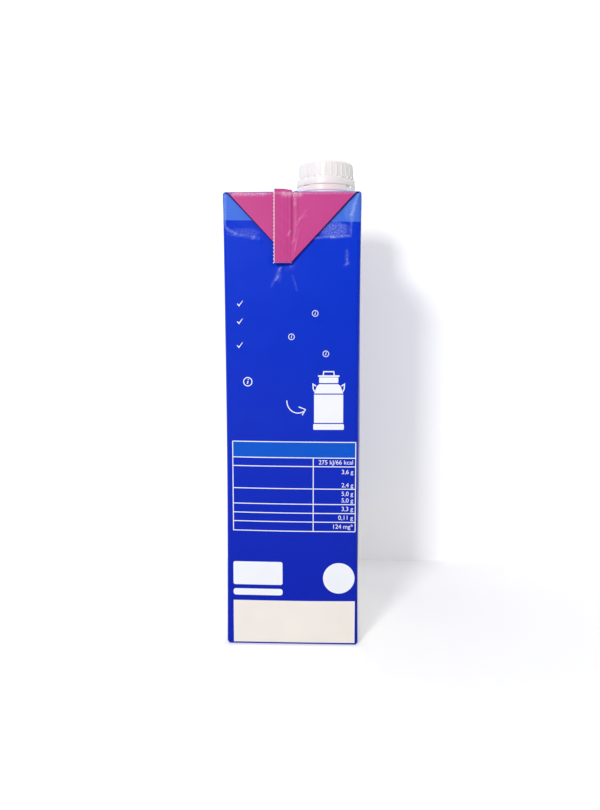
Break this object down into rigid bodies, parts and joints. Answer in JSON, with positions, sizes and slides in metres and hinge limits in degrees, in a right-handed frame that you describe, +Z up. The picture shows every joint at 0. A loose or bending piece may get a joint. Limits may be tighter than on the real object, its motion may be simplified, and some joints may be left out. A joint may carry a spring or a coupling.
{
  "type": "milk carton",
  "caption": "Tall slim brick carton, shut and full, with ears folded down on its narrow sides, a flat top fin and a ribbed screw cap over a tamper band.",
  "frame": {"origin": "middle of the base, on the surface that the carton stands on", "axes": "+Z up the carton; +X towards the front panel and the closure; -Y and +Y towards the narrow sides with the folded ears"},
  "size_m": [0.0628, 0.0976, 0.222],
  "materials": {
    "printed_paperboard": "printed paperboard under a glossy clear film",
    "spout_polyethylene": "moulded white polyethylene",
    "cap_polyethylene": "moulded white polyethylene"
  },
  "bodies": {
    "root": {"carton": "printed_paperboard", "spout": "spout_polyethylene", "tamper_band": "cap_polyethylene", "cap": "cap_polyethylene"}
  },
  "joints": []
}
